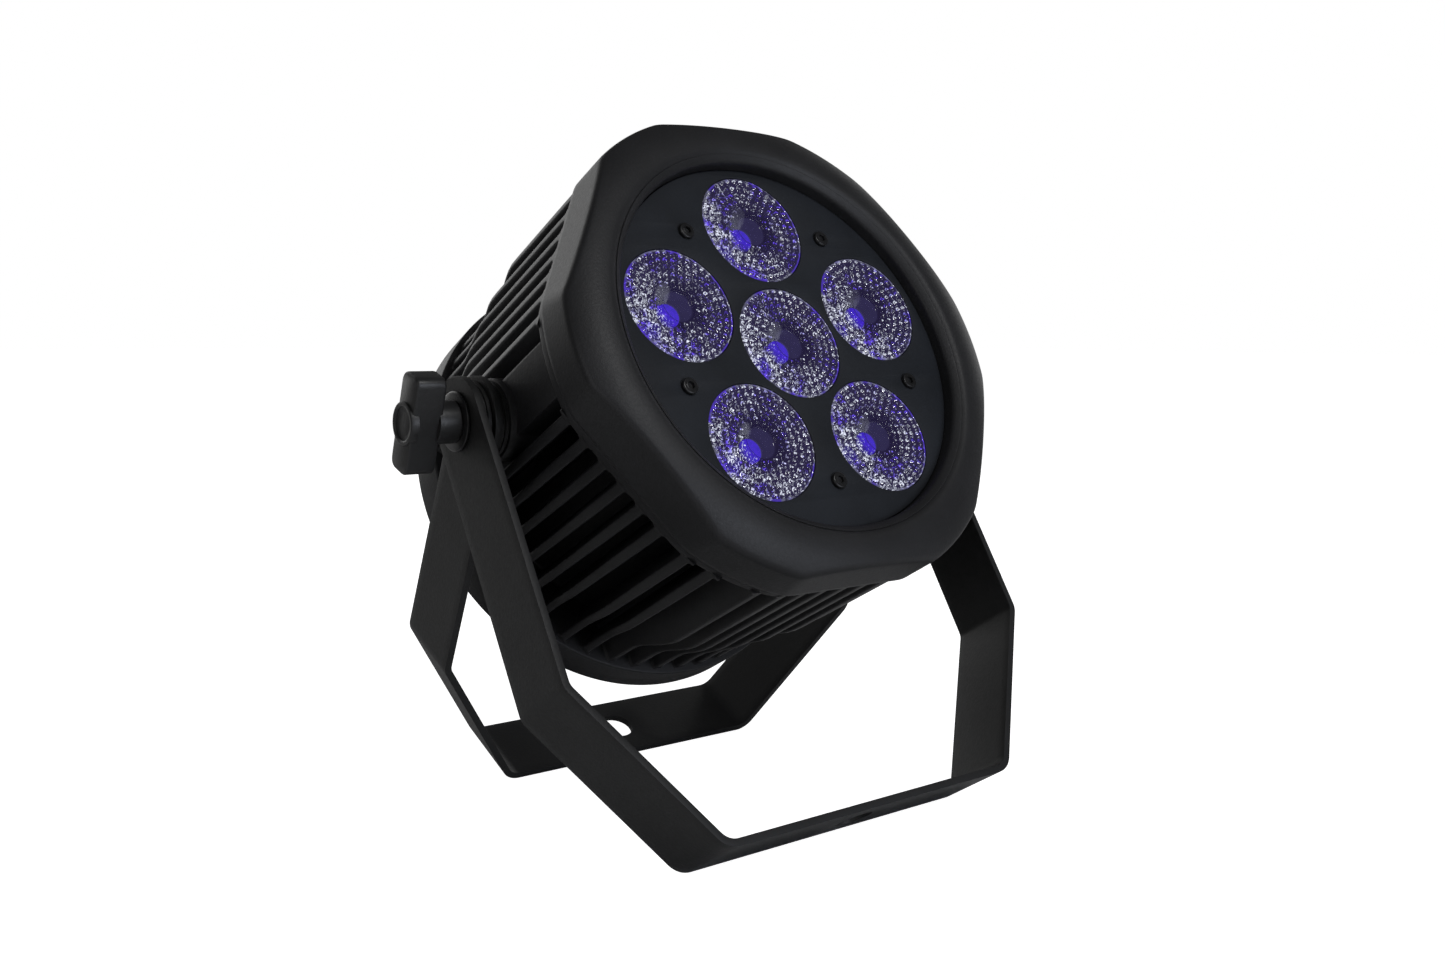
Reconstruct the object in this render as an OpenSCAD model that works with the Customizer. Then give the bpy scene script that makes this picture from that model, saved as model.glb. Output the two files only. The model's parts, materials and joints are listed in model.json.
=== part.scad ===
// LED par can: a finned die-cast housing clamped between two nested steel yokes, which spread
// into a floor stand. Millimetres. The floor is Z = 0, the pivot axis runs along X, and the
// beam leaves towards -Y and upwards. The origin is under the middle of the whole light.

/* [Stance] */
// Angle of the beam above the horizontal
tilt = 28.1; // [10:0.1:40]
// Lean of the front yoke out of the vertical
front_lean = 32.2; // [31:0.1:33]

/* [Yokes] */
// Half of the front yoke's outer width
yoke_half = 102.4; // [102:0.1:104]
// Width of the steel strap that the yokes are bent from
strap_w = 30; // [26:1:32]
// Thickness of the strap
strap_t = 2.5; // [2:0.1:2.6]
// Depth of the front yoke from the pivot to the outside of its base
front_depth = 157.5; // [156:0.5:158]
// Depth of the rear yoke from the pivot to the outside of its base
rear_depth = 147.8; // [147:0.1:149]
// Radius of the clamp bolt's hole in each base
base_hole_r = 6.75; // [5:0.25:8]

/* [Front] */
// Radius of the bezel over its lobes
bezel_r = 90; // [89:0.1:91]
// Distance from the optical axis to the bezel's flats
bezel_flat = 86; // [85:0.1:87]
// How far the bezel's flats lean in from its back to its front
bezel_draft = 1.6; // [0:0.1:2.5]
// Radius of each lens as seen in the face plate
lens_r = 21; // [20:0.1:21.2]
// Radius of the circle that the outer lenses stand on
lens_circle = 45.1; // [45:0.1:45.5]
// Radius of the circle of the face plate's screws
plate_screw_circle = 52.4; // [51:0.1:54]

/* [Housing] */
// Radius over the fins behind the bezel
fin_front_r = 88.6; // [87:0.1:89]
// Radius over the fins ahead of the rear ring
fin_rear_r = 82.6; // [80:0.1:84]
// Distance from the optical axis to the flats of the fins
fin_flat = 84.5; // [83:0.1:85]
// Thickness of a fin
fin_t = 3.6; // [3:0.1:4.2]
// Distance between neighbouring fins
fin_pitch = 9.1; // [8.5:0.1:9.2]
// Radius of the rear ring
rear_r = 84.7; // [84:0.1:86]
// Distance from the pivot back to the rear rim
rear_depth_z = 70.6; // [69:0.1:72]

/* [Controls] */
// Radius of a menu button's cap
button_r = 3.5; // [3:0.1:4]
// Distance between neighbouring buttons
button_pitch = 15; // [13:0.5:16]

/* [Hidden] */
$fn = 96;
BUTTONS = ["button_menu", "button_down", "button_up", "button_enter"];
SIDES = ["left", "right"];
LENS_COUNT = 6;
OUTER_LENSES = LENS_COUNT - 1;

// Colours
CAST_BLACK = [0.13, 0.13, 0.135];
PLATE_GREY = [0.17, 0.19, 0.21];
STEEL_BLACK = [0.15, 0.15, 0.15];
PLASTIC_BLACK = [0.08, 0.08, 0.08];
LENS_CLEAR = [0.75, 0.8, 0.95];
LED_BLUE = [0.15, 0.1, 0.9];
BOARD_GREEN = [0.1, 0.35, 0.2];
ZINC = [0.7, 0.7, 0.72];

// Stance: both bases rest on the floor with one edge of the strap
half_w = strap_w / 2;
pivot_h = front_depth * cos(front_lean) + half_w * sin(front_lean);
rear_reach = norm([rear_depth, half_w]);
rear_lean = acos(pivot_h / rear_reach) + atan(half_w / rear_depth);
rim_chamfer = 1.5;
front_y = -front_depth * sin(front_lean) - half_w * cos(front_lean);
back_y = rear_depth_z * cos(tilt) + (rear_r - rim_chamfer) * sin(tilt);
pivot_y = -(front_y + back_y) / 2;

// Yokes: bend places on the outer face, and outer bend radii
yoke_step = 6.2;
front_bend = 99.5;
front_base = 63.9;
rear_half = yoke_half - yoke_step;
rear_bend = 91;
rear_base = 58.3;
bend_1_r = 7;
bend_2_r = 9;
pivot_end_r = strap_w / 2;

// Pivot stack, outwards from the housing
stud_r = 4;
fit_gap = 0.05;
play = 0.15;
boss_r = 14;
boss_x = 90;
rear_inner_x = rear_half - strap_t;
front_inner_x = yoke_half - strap_t;
washer_r = 13.3;
knob_washer_t = 1.2;
knob_washer_r = 10;
knob_x = yoke_half + play + knob_washer_t;
hub_r = 7.2;
wing_x = knob_x + 7;
wing_t = 10.4;
wing_half = 16.8;
wing_w = 11;
wing_corner = 3.2;
knob_end_x = wing_x + wing_t + 0.8;
knob_angle = 19;
stud_in_x = 72;
stud_out_x = wing_x + 4;

// Stations along the optical axis, forwards from the pivot
crest_z = 63.2;
lip_z = 59.8;
dome_drop = 5.8;
ledge_z = 47;
plate_z = 56.3;
plate_t = 2.5;
bezel_back_z = 43;
gasket_t = 0.8;
flange_z = bezel_back_z - gasket_t;
flange_t = 3.8;
fin_z = flange_z - flange_t;
floor_z = 36;
floor_t = 6;
pad_t = 0.5;
board_t = 1.6;
board_z = floor_z + pad_t;
led_z = board_z + board_t;
fin_back_z = -54.5;
step_front_z = -10;
step_back_z = -40;
web_t = 4;
rim_z = -rear_depth_z;
cover_face_z = -69.4;
cover_t = 2.8;
cover_in_z = cover_face_z + cover_t;
mouth_z = cover_face_z - 1;
cover_gasket_t = 0.6;
socket_back_z = cover_in_z + 18;
seat_z = cover_in_z + cover_gasket_t;

// Radii of the front and the housing
crest_r = 76;
lip_r = 69.8;
bezel_in_r = 71;
gasket_in_r = 72;
gasket_out_r = 85;
plate_r = 69.5;
ledge_r = 67.6;
tube_r = 64;
tube_in_r = 60;
shell_mid_r = 61;
board_r = 57.8;
post_r = 3.6;
screw_r = 2;
screw_hole_r = 2.05;
clear_r = 2.3;
screw_head_r = 3.4;
screw_head_t = 3;
socket_depth = 1.2;
bezel_screw_out = 75;
plate_screw_l = 9;
plate_head_r = 3;
plate_head_t = 1.4;
lens_gap = 0.25;
wire_hole_r = 3;
cover_r = 80.4;
ring_in_r = 80.7;
seat_r = 78;
cover_screw_circle = 74.2;
pad_half = 10.2;
collar_r = 70;
collar_in_r = 68;
pad_x = 87.8;
fin_root_r = 62.8;
first_fin = -27.8;
board_clear = 0.3;
wide_gap = 12.1;

// Lens: an outer wall that curves up from the emitter to the front face
lens_foot_z = led_z + 1.6;
lens_wall_z = 52.2;
lens_foot_r = 5.6;
lens_flange_r = 22;
lens_flange_t = 1.3;
lens_face_z = plate_z + 0.2;
well_r = 6.6;
well_z = 48.5;
cavity_r = 4.4;
cavity_z = 43.4;
holder_gap = 0.3;
led_w = 5.6;
led_dome_r = 2.4;
holder_t = 1.1;
wire_y = 24;
plug_size = [9, 5];
plug_h = 4;

// Rear panel places, across the optical axis
display_size = [42, 19];
display_y = 33;
button_y = 12;
inlet_at = [-33, -22];
inlet_size = [28, 22];
data_in_at = [2, -23];
data_out_at = [33, -23];
data_flange = [26, 31];
data_screw_at = [9.5, 12];
data_r = 11.8;
data_cup_r = 9.2;
pin_recess = 6.5;
pin_size = [2, 4];
eye_at = [0, -62];
eye_foot = [28, 10];
eye_pin_x = 9;
loop_r = 10;
loop_hole_r = 6;
loop_t = 2.5;
vent_at = [-38, 12];
vent_r = 6;
vent_stem_r = 3.9;
control_z = -61.6;
driver_z = 4;
driver_size = [80, 60];
standoff_at = [36.5, 27.2];

module at_pivot() {
    translate([0, pivot_y, pivot_h]) children();
}

// Lamp frame: x along the pivot axis, y up across the beam, z forwards along the beam
module in_lamp() {
    at_pivot() rotate([90 - tilt, 0, 0]) children();
}

// Pivot stack frame: x outwards from the housing on the given side
module on_side(side) {
    mirror([side == "left" ? 1 : 0, 0, 0]) children();
}

module along_x(r, from, to) {
    translate([from, 0, 0]) rotate([0, 90, 0]) cylinder(h = to - from, r = r);
}

module disc(r, from, to) {
    translate([0, 0, from]) cylinder(h = to - from, r = r);
}

module ring(r_in, r_out, from, to) {
    difference() {
        disc(r_out, from, to);
        disc(r_in, from - 1, to + 1);
    }
}

module block(size, from, to) {
    translate([-size[0] / 2, -size[1] / 2, from]) cube([size[0], size[1], to - from]);
}

module hex_prism(flat, from, to) {
    translate([0, 0, from]) cylinder(h = to - from, r = flat / cos(30), $fn = 6);
}

// A hexagonal block whose flats lean in by the draft from its back to its front
module drafted_hex(flat, draft, from, to) {
    translate([0, 0, from])
        cylinder(h = to - from, r1 = flat / cos(30), r2 = (flat - draft) / cos(30), $fn = 6);
}

module on_circle(count, r, start) {
    for (i = [0:count - 1]) rotate([0, 0, start + i * 360 / count]) translate([r, 0, 0]) children();
}

// A place in the sector of fins that faces the given angle: out from the axis and across
module in_sector(angle, out, across) {
    rotate([0, 0, angle]) translate([out, across, 0]) children();
}

// ---- Front ----

DOME_STEPS = 8;
dome_w = bezel_r - crest_r;
// Height of the bezel's domed front at a distance outside its crest
function dome_z(out) = crest_z - dome_drop * pow(out / dome_w, 2);
// Height of the rounded lip inside the crest, which falls to the face plate's recess
function lip_height(u) = lip_z + (crest_z - lip_z) * sin(90 * u);

module bezel_section() {
    polygon(concat(
        [[ledge_r, ledge_z], [ledge_r, plate_z - plate_t], [lip_r, plate_z - plate_t]],
        [for (u = [0, 0.3, 0.65]) [lip_r + (crest_r - lip_r) * u, lip_height(u)]],
        [for (i = [0:DOME_STEPS]) let (out = i * dome_w / DOME_STEPS) [crest_r + out, dome_z(out)]],
        [[bezel_r, bezel_back_z], [bezel_in_r, bezel_back_z], [bezel_in_r, ledge_z]]
    ));
}

module front_bezel() {
    color(CAST_BLACK) in_lamp() difference() {
        intersection() {
            rotate_extrude() bezel_section();
            drafted_hex(bezel_flat, bezel_draft, bezel_back_z, crest_z);
        }
        bezel_screw_places() disc(screw_hole_r, bezel_back_z - 1, bezel_back_z + 10);
    }
}

module bezel_gasket() {
    color("black") in_lamp() difference() {
        ring(gasket_in_r, gasket_out_r, flange_z, bezel_back_z);
        bezel_screw_places() disc(clear_r, flange_z - 1, bezel_back_z + 1);
    }
}

// Four screws, each in the wide gap between two fins
module bezel_screw_places() {
    for (side = [0, 1], up = [0, 1]) mirror([side, 0, 0]) mirror([0, up, 0])
        in_sector(30, bezel_screw_out, fin_across(LAST_CLOSE_FIN) + wide_gap / 2) children();
}

module bezel_screws() {
    color(ZINC) in_lamp() bezel_screw_places() {
        disc(screw_r, fin_z, bezel_back_z + 9);
        difference() {
            disc(screw_head_r, fin_z - screw_head_t, fin_z);
            hex_socket(fin_z - screw_head_t, 1);
        }
    }
}

// A hexagon socket in a screw's head, sunk from its top in the direction given, 1 or -1
module hex_socket(top_z, way) {
    translate([0, 0, top_z + way * socket_depth / 2])
        cylinder(h = socket_depth, r = screw_head_r / 2, center = true, $fn = 6);
}

module lens_places() {
    children(0);
    on_circle(OUTER_LENSES, lens_circle, 90) children(0);
}

module plate_screw_places() {
    on_circle(OUTER_LENSES, plate_screw_circle, 90 + 180 / OUTER_LENSES) children();
}

module lens_plate() {
    color(PLATE_GREY) in_lamp() difference() {
        disc(plate_r, plate_z - plate_t, plate_z);
        lens_places() disc(lens_r + lens_gap, plate_z - plate_t - 1, plate_z + 1);
        plate_screw_places() disc(clear_r, plate_z - plate_t - 1, plate_z + 1);
    }
}

module plate_screws() {
    color("dimgray") in_lamp() plate_screw_places() {
        disc(screw_r, plate_z - plate_screw_l, plate_z);
        difference() {
            disc(plate_head_r, plate_z, plate_z + plate_head_t);
            hex_socket(plate_z + plate_head_t, -1);
        }
    }
}

// ---- Optics ----

function wall_r(z) = lens_foot_r
    + (lens_r - lens_foot_r) * sin(90 * (z - lens_foot_z) / (lens_wall_z - lens_foot_z));
WALL_STEPS = 8;
wall_stations = [for (i = [0:WALL_STEPS]) lens_foot_z + i * (lens_wall_z - lens_foot_z) / WALL_STEPS];

module lens_section() {
    polygon(concat(
        [[0, cavity_z], [cavity_r, cavity_z - 1.2], [cavity_r, lens_foot_z]],
        [for (z = wall_stations) [wall_r(z), z]],
        [
            [lens_flange_r, lens_wall_z], [lens_flange_r, lens_wall_z + lens_flange_t],
            [lens_r, lens_wall_z + lens_flange_t], [lens_r, lens_face_z - 0.3],
            [lens_r - 0.3, lens_face_z], [well_r, lens_face_z], [well_r, well_z], [0, well_z]
        ]
    ));
}

module lens_place(i) {
    angle = 90 + (i - 2) * 360 / OUTER_LENSES;
    r = i == 1 ? 0 : lens_circle;
    rotate([0, 0, angle]) translate([r, 0, 0]) children();
}

module lens(i) {
    color(LENS_CLEAR, 0.6) in_lamp() lens_place(i) rotate_extrude() lens_section();
}

module lens_holder(i) {
    gap = holder_gap;
    color(PLASTIC_BLACK) in_lamp() lens_place(i) rotate_extrude() polygon(concat(
        [[wall_r(lens_foot_z) + gap, led_z]],
        [for (z = wall_stations) if (z < lens_wall_z - 1) [wall_r(z) + gap, z]],
        [
            [lens_r + gap, lens_wall_z - 0.2], [lens_flange_r + 0.1, lens_wall_z - 0.2],
            [lens_flange_r + 0.1, lens_wall_z - 1.4], [lens_r + gap, lens_wall_z - 2.4]
        ],
        [for (k = [WALL_STEPS:-1:0]) if (wall_stations[k] < lens_wall_z - 2.5)
            [wall_r(wall_stations[k]) + gap + holder_t, wall_stations[k]]],
        [[wall_r(lens_foot_z) + gap + holder_t + 1.5, led_z]]
    ));
}

module led_emitters() {
    color(LED_BLUE) in_lamp() lens_places() union() {
        block([led_w, led_w], led_z, led_z + 1);
        intersection() {
            translate([0, 0, led_z + 0.6]) sphere(r = led_dome_r);
            disc(led_dome_r + 1, led_z + 0.8, led_z + 4);
        }
    }
}

module led_board() {
    color("white") in_lamp() difference() {
        union() {
            disc(board_r, board_z, led_z);
            at([0, wire_y]) block(plug_size, led_z, led_z + plug_h);
        }
        plate_screw_places() disc(post_r + board_clear, board_z - 1, led_z + 1);
        at([0, wire_y]) disc(clear_r, board_z - 1, led_z + plug_h - 1);
    }
}

module thermal_pad() {
    color("lightgray") in_lamp() difference() {
        disc(board_r, floor_z, board_z);
        plate_screw_places() disc(post_r + board_clear, floor_z - 1, board_z + 1);
        at([0, wire_y]) disc(wire_hole_r, floor_z - 1, board_z + 1);
    }
}

// ---- Housing ----

SIDE_FINS = 8;
END_FINS = 8;
LAST_CLOSE_FIN = 5;
// Fins of a side sector, counted from the pivot pad: after the sixth there is a wide gap
function fin_across(i) = first_fin + fin_pitch * i + (i > LAST_CLOSE_FIN ? wide_gap - fin_pitch : 0);
function end_across(i) = (i - (END_FINS - 1) / 2) * (fin_pitch + 0.3);

function ease(u) = u <= 0 ? 0 : u >= 1 ? 1 : u * u * (3 - 2 * u);
function fin_edge(z) = fin_front_r
    + (fin_rear_r - fin_front_r) * ease((step_front_z - z) / (step_front_z - step_back_z));
EDGE_STEPS = 6;

// Reach of a fin's outer edge, at its own distance across the sector
function fin_reach(z, across) = min(fin_flat, sqrt(pow(fin_edge(z), 2) - pow(across, 2)));

module fin(across) {
    root = sqrt(pow(fin_root_r, 2) - pow(abs(across) + fin_t / 2, 2));
    step = (step_front_z - step_back_z) / EDGE_STEPS;
    translate([0, across + fin_t / 2, 0]) rotate([90, 0, 0]) linear_extrude(fin_t) polygon(concat(
        [[root, fin_back_z - 1], [fin_reach(fin_back_z, across), fin_back_z - 1]],
        [for (i = [0:EDGE_STEPS]) let (z = step_back_z + i * step) [fin_reach(z, across), z]],
        [[fin_reach(fin_z, across) - 0.2, fin_z + 1], [root, fin_z + 1]]
    ));
}

module fins() {
    for (side = [0, 1], up = [0, 1], i = [0:SIDE_FINS - 1])
        mirror([side, 0, 0]) mirror([0, up, 0]) rotate([0, 0, 30]) fin(fin_across(i));
    for (up = [0, 1], i = [0:END_FINS - 1]) mirror([0, up, 0]) rotate([0, 0, 90]) fin(end_across(i));
}

module pivot_pads() {
    for (side = [0, 1]) mirror([side, 0, 0])
        translate([shell_mid_r, -pad_half, -boss_r])
            cube([pad_x - shell_mid_r, 2 * pad_half, fin_z + boss_r + 0.5]);
}

module housing_shell() {
    rotate_extrude() polygon([
        [0, floor_z - floor_t], [tube_in_r, floor_z - floor_t], [tube_in_r, fin_back_z - web_t],
        [seat_r, fin_back_z - web_t], [seat_r, seat_z], [ring_in_r, seat_z], [ring_in_r, rim_z],
        [rear_r - rim_chamfer, rim_z], [rear_r, rim_z + rim_chamfer], [rear_r, fin_back_z],
        [tube_r, fin_back_z], [tube_r, floor_z - 3], [collar_r, fin_z + 1], [collar_r, flange_z],
        [collar_in_r, flange_z], [collar_in_r, floor_z + 2], [collar_in_r - 2, floor_z], [0, floor_z]
    ]);
    intersection() {
        ring(tube_r + 3, fin_front_r, fin_z, flange_z);
        hex_prism(fin_flat, fin_z - 1, flange_z + 1);
    }
}

module heatsink_housing() {
    color(CAST_BLACK) in_lamp() difference() {
        union() {
            housing_shell();
            fins();
            pivot_pads();
            for (side = [0, 1]) mirror([side, 0, 0]) along_x(boss_r, shell_mid_r, boss_x);
            plate_screw_places() disc(post_r, floor_z - 1, plate_z - plate_t);
            on_circle(6, cover_screw_circle, 0) disc(post_r, cover_in_z, fin_back_z - 1);
        }
        for (side = SIDES) on_side(side) along_x(stud_r + fit_gap, stud_in_x - 3, boss_x + 1);
        plate_screw_places() disc(screw_hole_r, plate_z - 10, plate_z);
        on_circle(6, cover_screw_circle, 0) disc(screw_hole_r, cover_in_z - 1, fin_back_z - 1);
        bezel_screw_places() disc(clear_r, fin_z - 1, flange_z + 1);
        at([0, wire_y]) disc(wire_hole_r, floor_z - floor_t - 1, floor_z + 1);
    }
}

// ---- Inside ----

module board_corners() {
    for (x = [-1, 1], y = [-1, 1]) translate([x * standoff_at[0], y * standoff_at[1], 0]) children();
}

module driver_board() {
    color(BOARD_GREEN) in_lamp() difference() {
        block(driver_size, driver_z, driver_z + board_t);
        board_corners() disc(1.6, driver_z - 1, driver_z + board_t + 1);
    }
}

module board_standoffs() {
    color(ZINC) in_lamp() board_corners() {
        disc(3, driver_z + board_t, floor_z - floor_t);
        disc(1.5, driver_z, driver_z + board_t);
        disc(2.8, driver_z - 2, driver_z);
    }
}

module driver_components() {
    color("darkslategray") in_lamp() {
        translate([18, 10, 0]) block([26, 22], driver_z - 20, driver_z);
        for (y = [-2, 14]) translate([-18, y, 0]) disc(6.3, driver_z - 22, driver_z);
        translate([-4, -6, 0]) ring(3, 8, driver_z - 9, driver_z);
        translate([14, -9, 0]) block([18, 8], driver_z - 12, driver_z);
        translate([-20, 25, 0]) block([14, 5], driver_z - 6, driver_z);
        at(inlet_at) block([8, 4.6], driver_z - 8, driver_z);
        at([0, wire_y]) block(plug_size, driver_z + board_t, driver_z + board_t + plug_h);
    }
}

module inner_wiring() {
    color("firebrick") in_lamp() {
        at([0, wire_y]) disc(2.2, driver_z + board_t + plug_h, led_z + plug_h - 1);
        at(inlet_at) disc(2.6, socket_back_z, driver_z - 8);
        for (place = [data_in_at, data_out_at]) at(place) disc(1.8, socket_back_z, driver_z);
        translate([-20, 25, 0]) block([12, 1.4], control_z + board_t, driver_z - 6);
    }
}

// ---- Rear ----

module at(place) {
    translate([place[0], place[1], 0]) children();
}

module button_place(i) {
    translate([(i - (len(BUTTONS) - 1) / 2) * button_pitch, button_y, 0]) children();
}

module data_screw_places() {
    for (place = [data_in_at, data_out_at], s = [-1, 1]) at(place + s * data_screw_at) children();
}

module rear_cover() {
    lo = cover_face_z - 1;
    hi = cover_in_z + 1;
    color(CAST_BLACK) in_lamp() difference() {
        disc(cover_r, cover_face_z, cover_in_z);
        on_circle(6, cover_screw_circle, 0) disc(clear_r, lo, hi);
        at([0, display_y]) block(display_size, lo, hi);
        for (i = [0:len(BUTTONS) - 1]) button_place(i) disc(button_r + 0.3, lo, hi);
        at(inlet_at) block(inlet_size - [1, 1], lo, hi);
        for (place = [data_in_at, data_out_at]) at(place) disc(data_r + 0.2, lo, hi);
        data_screw_places() disc(1.55, lo, hi);
        at(eye_at) for (x = [-1, 1]) at([x * eye_pin_x, 0]) disc(2.1, lo, hi);
        at(vent_at) disc(vent_stem_r + 0.1, lo, hi);
    }
}

module cover_gasket() {
    color("black") in_lamp() ring(seat_r + 0.2, cover_r - 0.3, cover_in_z, seat_z);
}

module cover_screws() {
    head_z = cover_face_z - 2;
    color(ZINC) in_lamp() on_circle(6, cover_screw_circle, 0) {
        disc(screw_r, cover_face_z, cover_face_z + 10);
        difference() {
            disc(screw_head_r, head_z, cover_face_z);
            hex_socket(head_z, 1);
        }
    }
}

module control_board() {
    color(BOARD_GREEN) in_lamp() at([0, 21]) block([74, 44], control_z, control_z + board_t);
}

module display_module() {
    color("black") in_lamp() at([0, display_y]) block([38, 16], cover_in_z + 0.1, control_z);
}

module display_window() {
    color("black", 0.8) in_lamp() at([0, display_y]) union() {
        block(display_size - [0.4, 0.4], cover_face_z, cover_in_z);
        block(display_size + [3, 3], cover_face_z - 0.8, cover_face_z);
    }
}

module menu_button(i) {
    color(PLASTIC_BLACK) in_lamp() button_place(i) {
        disc(button_r, cover_face_z - 1, cover_in_z + 1.4);
        disc(button_r + 1, cover_in_z + 0.2, cover_in_z + 1.4);
        disc(1.6, cover_in_z + 1.4, control_z - 0.9);
    }
}

module pin_places() {
    for (x = [-7, 0, 7]) translate([x, x == 0 ? 2 : -1, 0]) children();
}

module power_inlet() {
    color(PLASTIC_BLACK) in_lamp() at(inlet_at) difference() {
        union() {
            block(inlet_size + [4, 4], mouth_z, cover_face_z);
            block(inlet_size - [1.6, 1.6], cover_face_z, socket_back_z);
        }
        block(inlet_size - [5, 5.4], mouth_z - 1, cover_in_z + 13);
        pin_places() block(pin_size, mouth_z, cover_in_z + 15);
    }
}

module inlet_pins() {
    color(ZINC) in_lamp() at(inlet_at) pin_places() block(pin_size, mouth_z + pin_recess, cover_in_z + 15);
}

module data_shell() {
    difference() {
        union() {
            block(data_flange, mouth_z, cover_face_z);
            disc(data_r, cover_face_z, socket_back_z);
        }
        disc(data_cup_r, mouth_z - 1, cover_in_z + 10);
        for (s = [-1, 1]) at(s * data_screw_at) disc(1.6, mouth_z - 1, cover_face_z + 1);
    }
}

module data_contacts(r, from, to) {
    on_circle(3, 3.6, 90) disc(r, from, to);
}

module data_in_socket() {
    color(PLASTIC_BLACK) in_lamp() at(data_in_at) {
        data_shell();
        data_contacts(1.2, mouth_z + pin_recess, cover_in_z + 10.5);
    }
}

module data_out_socket() {
    color(PLASTIC_BLACK) in_lamp() at(data_out_at) {
        data_shell();
        difference() {
            disc(7, cover_face_z, cover_in_z + 10.5);
            data_contacts(1.4, cover_face_z - 1, cover_in_z + 8);
        }
    }
}

module socket_screws() {
    color(ZINC) in_lamp() data_screw_places() {
        disc(1.45, cover_face_z - 1, cover_in_z + 4);
        disc(2.6, cover_face_z - 2.2, cover_face_z - 1);
    }
}

// A steel loop that a safety wire's hook goes through
module safety_eye() {
    foot_z = cover_face_z - loop_t;
    loop_z = foot_z - 8;
    color(ZINC) in_lamp() at(eye_at) {
        difference() {
            union() {
                block(eye_foot, foot_z, cover_face_z);
                translate([0, 0, loop_z]) rotate([90, 0, 0]) cylinder(h = loop_t, r = loop_r, center = true);
                block([2 * loop_r, loop_t], loop_z, foot_z + 1);
            }
            translate([0, 0, loop_z]) rotate([90, 0, 0]) cylinder(h = 10, r = loop_hole_r, center = true);
        }
        for (x = [-1, 1]) at([x * eye_pin_x, 0]) disc(2, cover_face_z - 0.5, cover_in_z + 4);
    }
}

module vent_plug() {
    color(PLASTIC_BLACK) in_lamp() at(vent_at) {
        disc(vent_stem_r, cover_face_z, cover_in_z + 3);
        difference() {
            disc(vent_r, cover_face_z - 1.2, cover_face_z);
            on_circle(6, vent_stem_r - 0.3, 0) disc(0.6, cover_face_z - 2, cover_face_z - 0.5);
        }
    }
}

// ---- Yokes ----

// Points of an arc round a centre, from one angle to another
function arc(centre, r, from, to) = [for (i = [0:BEND_STEPS])
    centre + r * [cos(from + (to - from) * i / BEND_STEPS), sin(from + (to - from) * i / BEND_STEPS)]];
function mirrored(points) = [for (i = [len(points) - 1:-1:0]) [-points[i][0], points[i][1]]];
function reversed(points) = [for (i = [len(points) - 1:-1:0]) points[i]];
BEND_STEPS = 12;

// One side of the bent strap, from the pivot down to the base, at a depth below its outer face
function strap_line(half, bend, base, depth, inset) = let (
    turn_1 = atan((half - base) / (depth - bend)),
    cut_1 = bend_1_r * tan(turn_1 / 2),
    cut_2 = bend_2_r * tan((90 - turn_1) / 2)
) concat(
    [[half - inset, 0]],
    arc([half - bend_1_r, cut_1 - bend], bend_1_r - inset, 0, -turn_1),
    arc([base - cut_2, bend_2_r - depth], bend_2_r - inset, -turn_1, -90)
);

module yoke(half, bend, base, depth) {
    outer = strap_line(half, bend, base, depth, 0);
    inner = strap_line(half, bend, base, depth, strap_t);
    difference() {
        union() {
            rotate([90, 0, 0]) linear_extrude(strap_w, center = true)
                polygon(concat(outer, mirrored(outer), reversed(mirrored(inner)), reversed(inner)));
            for (side = SIDES) on_side(side) along_x(pivot_end_r, half - strap_t, half);
        }
        along_x(stud_r + fit_gap, -half - 1, half + 1);
        translate([0, 0, -depth - 1]) cylinder(h = strap_t + 2, r = base_hole_r);
    }
}

module front_yoke() {
    color(STEEL_BLACK) at_pivot() rotate([-front_lean, 0, 0])
        yoke(yoke_half, front_bend, front_base, front_depth);
}

module rear_yoke() {
    color(STEEL_BLACK) at_pivot() rotate([rear_lean, 0, 0])
        yoke(rear_half, rear_bend, rear_base, rear_depth);
}

// ---- Pivot stack ----

module stack_washer(side, r, from, to) {
    at_pivot() on_side(side) difference() {
        along_x(r, from, to);
        along_x(stud_r + fit_gap, from - 1, to + 1);
    }
}

module pivot_washer(side) {
    color("black") stack_washer(side, washer_r, boss_x, rear_inner_x - play);
}

module yoke_spacer(side) {
    color("black") stack_washer(side, washer_r, rear_half + play, front_inner_x);
}

module knob_washer(side) {
    color(ZINC) stack_washer(side, knob_washer_r, yoke_half + play, knob_x);
}

module knob_stud(side) {
    color(ZINC) at_pivot() on_side(side) along_x(stud_r, stud_in_x, stud_out_x);
}

module rounded_slab(size, corner, t) {
    linear_extrude(t) union() {
        square([size[0] - 2 * corner, size[1]], center = true);
        square([size[0], size[1] - 2 * corner], center = true);
        for (x = [-1, 1], y = [-1, 1])
            translate([x * (size[0] / 2 - corner), y * (size[1] / 2 - corner)]) circle(corner, $fn = 32);
    }
}

module knob(side) {
    color(PLASTIC_BLACK) at_pivot() on_side(side) rotate([knob_angle, 0, 0]) difference() {
        union() {
            along_x(hub_r, knob_x, wing_x + 1);
            translate([wing_x, 0, 0]) rotate([0, 90, 0])
                rounded_slab([2 * wing_half, wing_w], wing_corner, wing_t);
            along_x(hub_r, wing_x, knob_end_x);
        }
        along_x(stud_r, knob_x - 1, stud_out_x);
        along_x(hub_r - 1.6, knob_end_x - 0.6, knob_end_x + 1);
    }
}

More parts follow.
